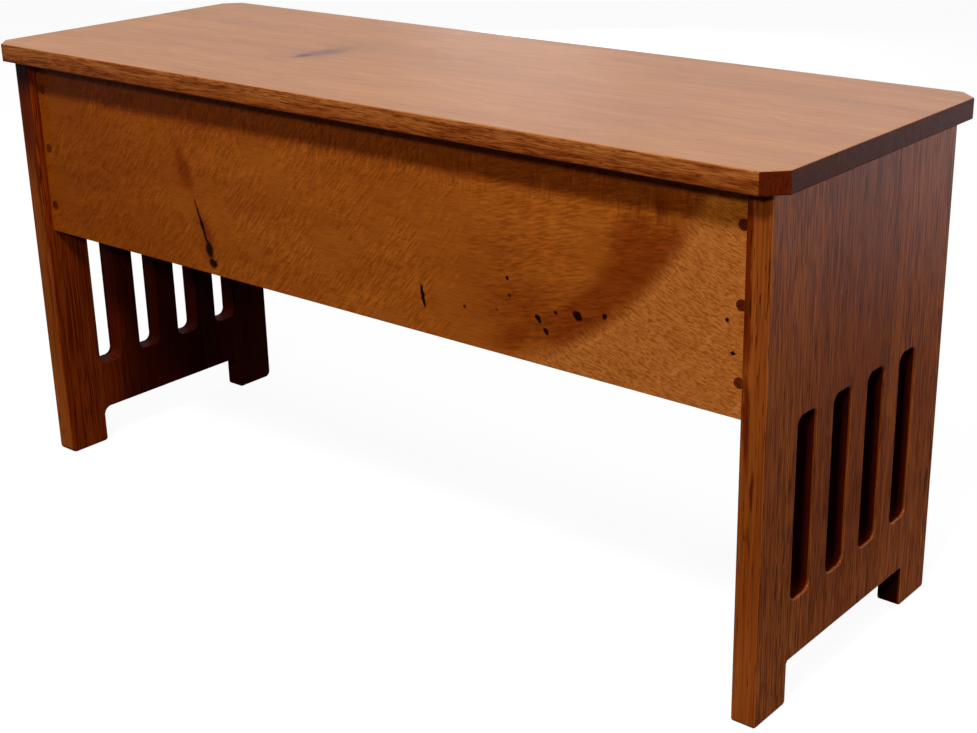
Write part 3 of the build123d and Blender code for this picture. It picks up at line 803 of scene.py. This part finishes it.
def floor_plywood():
    """Oak-faced plywood: a broad rotary-cut figure on its faces and five thin plies along its edges."""
    material, tree, shader = new_material("Sealed plywood", Specular_IOR_Level=0.25)
    texture = add(tree, "ShaderNodeTexCoord").outputs
    place = swayed(tree, texture["Object"], 140 * mm, 40 * mm)
    fibres = streaks(tree, place, "X", 60 * mm, 1.2 * mm, detail=3.0)
    figure = streaks(tree, place, "X", 260 * mm, 16 * mm, detail=3.0)
    pores = oak_pores(tree, place, "X", 12 * mm, 0.8 * mm, extra=0.02)
    tone = add(tree, "ShaderNodeMix", {
        FACTOR: figure, FIRST: linear("#A67C4C"), SECOND: linear("#CDAA78"),
    }, data_type="RGBA").outputs[MIXED]

    # Along the edges, where the normal doesn't point up or down, every second ply has its grain end-on and is darker
    low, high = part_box("box_floor")
    height = add(tree, "ShaderNodeSeparateXYZ", {0: texture["Object"]}).outputs[2]
    ply = add(tree, "ShaderNodeMapRange", {0: height, 1: low.z, 2: high.z, 3: 0.0, 4: PLIES / 2}).outputs[0]
    saw = add(tree, "ShaderNodeMath", {0: ply}, operation="FRACT").outputs[0]
    dark_ply = add(tree, "ShaderNodeMath", {0: saw, 1: 0.5}, operation="GREATER_THAN").outputs[0]
    facing = add(tree, "ShaderNodeSeparateXYZ", {0: texture["Normal"]}).outputs[2]
    flat = add(tree, "ShaderNodeMath", {0: facing}, operation="ABSOLUTE").outputs[0]
    edge = add(tree, "ShaderNodeMath", {0: 1.0, 1: flat}, operation="SUBTRACT").outputs[0]
    plies = add(tree, "ShaderNodeMath", {0: dark_ply, 1: edge}, operation="MULTIPLY").outputs[0]
    tone = layered(
        tree, tone,
        (fibres, 0.4, 0.75, (0.86, 0.82, 0.76)),
        (pores, 0.0, 1.0, (0.62, 0.54, 0.46)),
        (plies, 0.2, 0.8, (0.55, 0.44, 0.34)),
    )
    finish_oak(tree, shader, tone, pores, fibres, smooth=0.48, rough=0.62, depth=0.08 * mm)
    return material


def brushed_metal(name, pale, dull, smooth, rough):
    """A plated or solid metal, rubbed one way, with a breath of tarnish in soft patches. The rubbing's real lines
    are a few hundredths of a millimetre wide, so they are drawn about ten times as coarse."""
    material, tree, shader = new_material(name, Metallic=1.0)
    place = add(tree, "ShaderNodeTexCoord").outputs["Object"]
    rub = streaks(tree, place, "X", 9 * mm, 0.35 * mm, detail=3.0)
    tarnish = add(tree, "ShaderNodeTexNoise", {"Vector": place, "Scale": 1 / (7 * mm), "Detail": 4.0}).outputs[0]
    tone = add(tree, "ShaderNodeMix", {
        FACTOR: tarnish, FIRST: linear(dull), SECOND: linear(pale),
    }, data_type="RGBA").outputs[MIXED]
    tone = layered(tree, tone, (rub, 0.45, 0.8, (0.88, 0.87, 0.85)))
    tree.links.new(tone, shader.inputs["Base Color"])
    mixed = add(tree, "ShaderNodeMath", {0: rub, 1: tarnish}, operation="MULTIPLY").outputs[0]
    sheen = add(tree, "ShaderNodeMapRange", {0: mixed, 1: 0.15, 2: 0.4, 3: smooth, 4: rough})
    tree.links.new(sheen.outputs[0], shader.inputs["Roughness"])
    bump = add(tree, "ShaderNodeBump", {"Strength": 0.2, "Distance": 0.02 * mm, "Height": rub})
    tree.links.new(bump.outputs[0], shader.inputs["Normal"])
    return material


seat = [lid_face_oak(), lid_edge_oak(), lid_end_oak()]
apron_oak, end_grain = board_oak(), plug_oak()
# The outer faces of the end panels are rubbed out to a sheen, and their edges and inner faces aren't
uprights = [
    panel_oak("Lacquered oak, panel face", 0.32, 0.32, 0.44, 80 * mm, extra_pores=0.07),
    panel_oak("Lacquered oak, panel edges and inside", 0.03, 0.5, 0.62, 110 * mm, extra_pores=-0.02),
]
plywood = floor_plywood()
# Solid brass, cast and rubbed: warm yellow, dulled where fingers don't reach
brass = brushed_metal("Satin brass", "#D2AE62", "#A47E3C", smooth=0.28, rough=0.44)
# Zinc plating over steel: cool, pale and fairly bright
zinc = brushed_metal("Zinc-plated steel", "#BABDBF", "#8E9294", smooth=0.25, rough=0.4)
sealed = {along: cleat_oak(along) for along in "XYZ"}

for side in ("left", "right"):
    end_panel(side, uprights)
seat_lid(seat)
front_board(apron_oak)
front_plugs(end_grain)

# The CAD nodes that are shown as they are
for name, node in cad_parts.items():
    if name.endswith("screws"):
        finish = brass if "leaf" in name else zinc
    elif "hinge" in name:
        finish = brass
    elif name.endswith("corner_cleat"):
        finish = sealed["Z"]
    elif name.endswith("batten") or name in ("left_floor_cleat", "right_floor_cleat"):
        finish = sealed["Y"]
    elif name.endswith("floor_cleat"):
        finish = sealed["X"]
    elif name == "box_floor":
        finish = plywood
    elif name.endswith("plugs"):
        finish = end_grain
    else:
        finish = apron_oak
    node.data.materials.clear()
    node.data.materials.append(finish)


# The floor, the light and the camera

FLOOR_HALF_WIDTH = 12
# What the camera sees of the floor: its own light, and what it throws back, which is where the shadow shows
FLOOR_WHITE = 0.94
FLOOR_PALE = (0.12, 0.12, 0.12, 1)
# What it throws back at the bench
FLOOR_DULL = (0.025, 0.025, 0.025, 1)
# Reflections find the floor dim close to the bench and white further off: a painted shadow round the bench, seen
# only in reflections
FLOOR_GLOW_NEAR, FLOOR_GLOW_FAR = 1.1, 2.2
FLOOR_GLOW_LEAST = 0.06
FLOOR_GLOW_COLOUR = (0.93, 0.97, 1.08, 1)
# The room's weak light on everything, and how it looks in reflections: cooler all round, but for the far left
ROOM_LIGHT = 0.015
ROOM_LEFT = (-0.80, -0.45)
ROOM_WARM = (0.84, 0.80, 0.76, 1)
ROOM_COOL = (1.0, 1.02, 1.06, 1)
WHITE = (1, 1, 1, 1)

# Soft boxes, turned to the bench: place, width, watts, and whether reflections show it. Three don't show, because
# they would put a white glare on the lid from behind and from the left.
LAMP_TARGET = (0, 0, 0.3)
LAMPS = {
    "High": ((0.6, -1.8, 2.75), 0.4, 52, False),
    "Overhead": ((-0.2, 0, 2.8), 1.2, 28, True),
    "Right": ((1.0, -2.4, 1.67), 0.3, 21, False),
    "Side": ((2.4, 0.2, 0.9), 0.6, 11.5, False),
    "Low back": ((-1.8, 2.3, 0.3), 0.5, 20, True),
}

# The photograph's camera: its place, the way that it looks in radians, its lens and sensor in millimetres, and how
# its picture is cropped
CAMERA_PLACE = (1011.71 * mm, -1112.38 * mm, 739.79 * mm)
CAMERA_TURN = 0.6900
CAMERA_PITCH = -0.3463
CAMERA_ROLL = -0.0174
CAMERA_LENS = 59.992
CAMERA_SENSOR = 36
CAMERA_SHIFT = (-0.02958, -0.04038)


def seen_by_camera(tree, path, other, seen):
    """One shader for what the camera sees, also through glass, and another for all the rest."""
    direct = add(
        tree, "ShaderNodeMath", {0: path["Is Camera Ray"], 1: path["Is Transmission Ray"]}, operation="MAXIMUM"
    ).outputs[0]
    return add(tree, "ShaderNodeMixShader", {0: direct, 1: other, 2: seen}).outputs[0]


def studio_floor():
    """A pale floor, lit to white where the camera looks at it, that keeps the bench's shadow."""
    bm = bmesh.new()
    bmesh.ops.create_grid(bm, x_segments=1, y_segments=1, size=FLOOR_HALF_WIDTH)
    mesh = bpy.data.meshes.new("studio_floor")
    bm.to_mesh(mesh)
    bm.free()
    floor = bpy.data.objects.new("studio_floor", mesh)
    bpy.context.scene.collection.objects.link(floor)
    material = bpy.data.materials.new("Pale floor")
    material.use_nodes = True
    tree = material.node_tree
    tree.nodes.clear()
    path = add(tree, "ShaderNodeLightPath").outputs
    dull = add(tree, "ShaderNodeBsdfDiffuse", {"Color": FLOOR_DULL}).outputs[0]
    white = add(tree, "ShaderNodeEmission", {"Color": WHITE, "Strength": FLOOR_WHITE}).outputs[0]
    pale = add(tree, "ShaderNodeBsdfDiffuse", {"Color": FLOOR_PALE}).outputs[0]
    lit = add(tree, "ShaderNodeAddShader", {0: white, 1: pale}).outputs[0]
    middle = add(tree, "ShaderNodeTexCoord").outputs["Object"]
    away = add(tree, "ShaderNodeVectorMath", {0: middle}, operation="LENGTH").outputs["Value"]
    bright = add(
        tree, "ShaderNodeMapRange", {0: away, 1: FLOOR_GLOW_NEAR, 2: FLOOR_GLOW_FAR, 3: FLOOR_GLOW_LEAST, 4: 1.0}
    ).outputs[0]
    mirrored = add(tree, "ShaderNodeEmission", {"Color": FLOOR_GLOW_COLOUR, "Strength": bright}).outputs[0]
    other = add(tree, "ShaderNodeMixShader", {0: path["Is Glossy Ray"], 1: dull, 2: mirrored}).outputs[0]
    add(tree, "ShaderNodeOutputMaterial", {"Surface": seen_by_camera(tree, path, other, lit)})
    mesh.materials.append(material)


def studio_world():
    """White where it is seen or mirrored, and a weak even light on everything else."""
    world = bpy.data.worlds.new("Studio")
    bpy.context.scene.world = world
    world.use_nodes = True
    tree = world.node_tree
    tree.nodes.clear()
    path = add(tree, "ShaderNodeLightPath").outputs
    ambient = add(tree, "ShaderNodeBackground", {"Color": WHITE, "Strength": ROOM_LIGHT}).outputs[0]
    white = add(tree, "ShaderNodeBackground", {"Color": WHITE, "Strength": 1.0}).outputs[0]
    around = add(tree, "ShaderNodeTexCoord").outputs["Generated"]
    sideways = add(tree, "ShaderNodeSeparateXYZ", {0: around}).outputs[0]
    turned = add(tree, "ShaderNodeMapRange", {0: sideways, 1: ROOM_LEFT[0], 2: ROOM_LEFT[1]}).outputs[0]
    room = add(
        tree, "ShaderNodeMix", {FACTOR: turned, FIRST: ROOM_WARM, SECOND: ROOM_COOL}, data_type="RGBA"
    ).outputs[MIXED]
    mirrored = add(tree, "ShaderNodeBackground", {"Color": room, "Strength": 1.0}).outputs[0]
    other = add(tree, "ShaderNodeMixShader", {0: path["Is Glossy Ray"], 1: ambient, 2: mirrored}).outputs[0]
    add(tree, "ShaderNodeOutputWorld", {"Surface": seen_by_camera(tree, path, other, white)})


def soft_box(name, place, width, watts, shown):
    """A square lamp at a place, turned to the bench."""
    light = bpy.data.lights.new(name, "AREA")
    light.shape = "SQUARE"
    light.size = width
    light.energy = watts
    lamp = bpy.data.objects.new(name, light)
    lamp.location = place
    lamp.visible_glossy = shown
    lamp.rotation_euler = (Vector(LAMP_TARGET) - Vector(place)).to_track_quat("-Z", "Y").to_euler()
    bpy.context.scene.collection.objects.link(lamp)


def photograph_camera():
    """The camera that took the photograph."""
    camera = bpy.data.cameras.new("Camera")
    camera.sensor_fit = "HORIZONTAL"
    camera.sensor_width = CAMERA_SENSOR
    camera.lens = CAMERA_LENS
    camera.shift_x, camera.shift_y = CAMERA_SHIFT
    holder = bpy.data.objects.new("Camera", camera)
    turn = Matrix.Rotation(CAMERA_TURN, 4, "Z")
    pitch = Matrix.Rotation(math.radians(90) + CAMERA_PITCH, 4, "X")
    roll = Matrix.Rotation(CAMERA_ROLL, 4, "Z")
    holder.matrix_world = Matrix.Translation(CAMERA_PLACE) @ turn @ pitch @ roll
    bpy.context.scene.collection.objects.link(holder)
    bpy.context.scene.camera = holder


studio_floor()
studio_world()
for name, lamp in LAMPS.items():
    soft_box(name, *lamp)
photograph_camera()

bpy.context.scene.view_settings.view_transform = "Standard"
